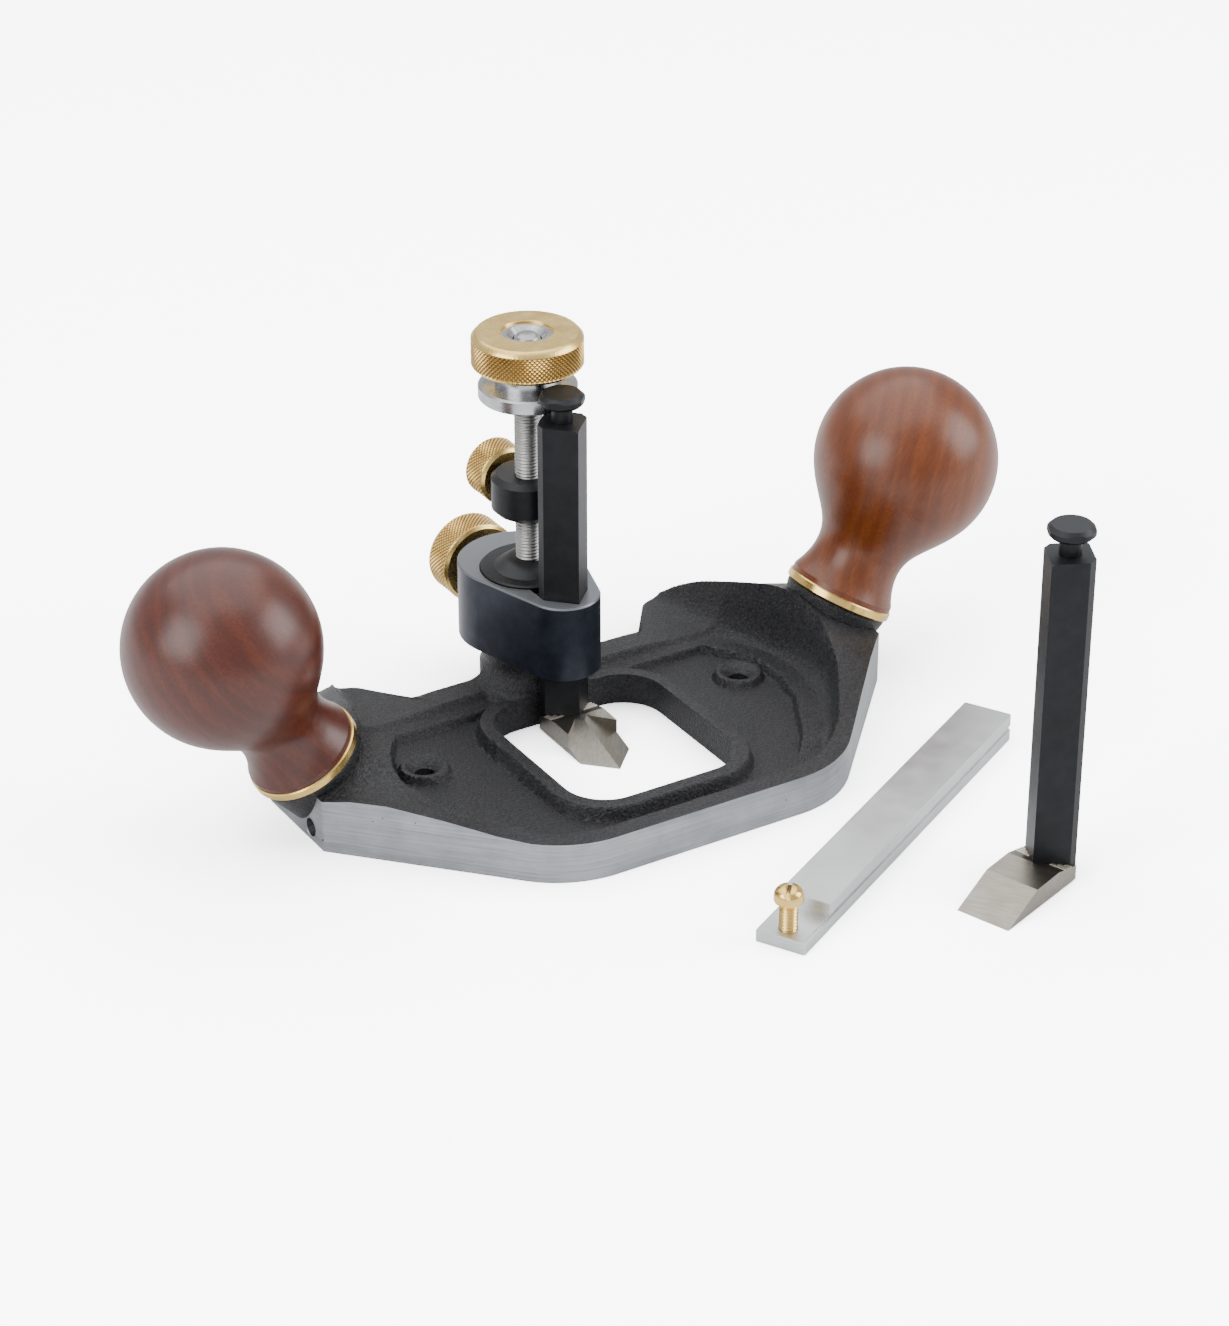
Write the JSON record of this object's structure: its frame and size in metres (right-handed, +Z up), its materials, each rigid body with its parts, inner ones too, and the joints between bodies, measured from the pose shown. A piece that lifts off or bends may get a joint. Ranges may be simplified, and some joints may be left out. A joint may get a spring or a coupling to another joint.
{
  "type": "router plane",
  "caption": "Two-handled router plane with screw-adjusted pointed blade, plus a straight blade and a fence bar beside it.",
  "frame": {"origin": "on the flat sole, midway between the two countersunk sole holes", "axes": "+X from the left handle to the right one, +Y from the front edge to the clamp screw, +Z up"},
  "size_m": [0.2162, 0.167, 0.091],
  "materials": {
    "black_casting": "satin",
    "handle_wood": "satin",
    "brass": "polished",
    "bright_steel": "polished",
    "black_oxide": "satin",
    "ground_steel": "brushed",
    "fence_aluminium": "satin"
  },
  "bodies": {
    "plane_body": {"body_casting": "black_casting", "left_handle": "handle_wood", "right_handle": "handle_wood", "left_handle_insert": "brass", "right_handle_insert": "brass", "left_ferrule": "brass", "right_ferrule": "brass", "left_handle_stud": "bright_steel", "right_handle_stud": "bright_steel", "lead_screw": "bright_steel", "post_cap": "black_casting", "clamp_pad": "brass"},
    "blade": {"blade_shank": "black_oxide", "blade_foot": "ground_steel"},
    "adjuster": {"adjuster_spool": "bright_steel", "adjuster_wheel": "brass"},
    "depth_stop": {"stop_ring": "black_oxide"},
    "stop_thumbscrew": {"stop_screw": "bright_steel", "stop_knob": "brass"},
    "collar": {"clamp_collar": "black_oxide"},
    "clamp_thumbscrew": {"clamp_screw": "bright_steel", "clamp_knob": "brass"},
    "spare_blade": {"spare_blade_shank": "black_oxide", "spare_blade_foot": "ground_steel"},
    "fence": {"fence_bar": "fence_aluminium"},
    "fence_fastener": {"fence_screw": "brass"}
  },
  "joints": [
    {"name": "blade_depth", "type": "slide", "parent": "plane_body", "child": "blade", "axis": [0, 0, 1], "range_m": [-0.014, 0.003]},
    {"name": "adjuster_turn", "type": "hinge", "parent": "blade", "child": "adjuster", "pos_m": [0, 0.0236, 0.08], "axis": [0, 0, 1], "continuous": true},
    {"name": "stop_height", "type": "slide", "parent": "plane_body", "child": "depth_stop", "axis": [0, 0, 1], "range_m": [-0.01, 0.002]},
    {"name": "stop_screw_turn", "type": "hinge", "parent": "depth_stop", "child": "stop_thumbscrew", "pos_m": [0, 0.034, 0.0519], "axis": [0, 1, 0], "range_deg": [0, 720]},
    {"name": "collar_play", "type": "slide", "parent": "plane_body", "child": "collar", "axis": [0, 1, 0], "range_m": [-0.0003, 0]},
    {"name": "clamp_screw_turn", "type": "hinge", "parent": "collar", "child": "clamp_thumbscrew", "pos_m": [0, 0.044, 0.0243], "axis": [0, 1, 0], "range_deg": [0, 720]},
    {"name": "spare_blade_lift", "type": "slide", "parent": "plane_body", "child": "spare_blade", "axis": [0, 0, 1], "range_m": [0, 0.05]},
    {"name": "fence_lift", "type": "slide", "parent": "plane_body", "child": "fence", "axis": [0, 0, 1], "range_m": [0, 0.05]},
    {"name": "fence_screw_turn", "type": "hinge", "parent": "fence", "child": "fence_fastener", "pos_m": [-0.00695, -0.09186, 0.006], "axis": [0, 0, 1], "range_deg": [0, 720]}
  ],
  "couplings": [
    {"joint": "adjuster_turn", "follows": "blade_depth", "rad_per_m": 7915.8}
  ]
}
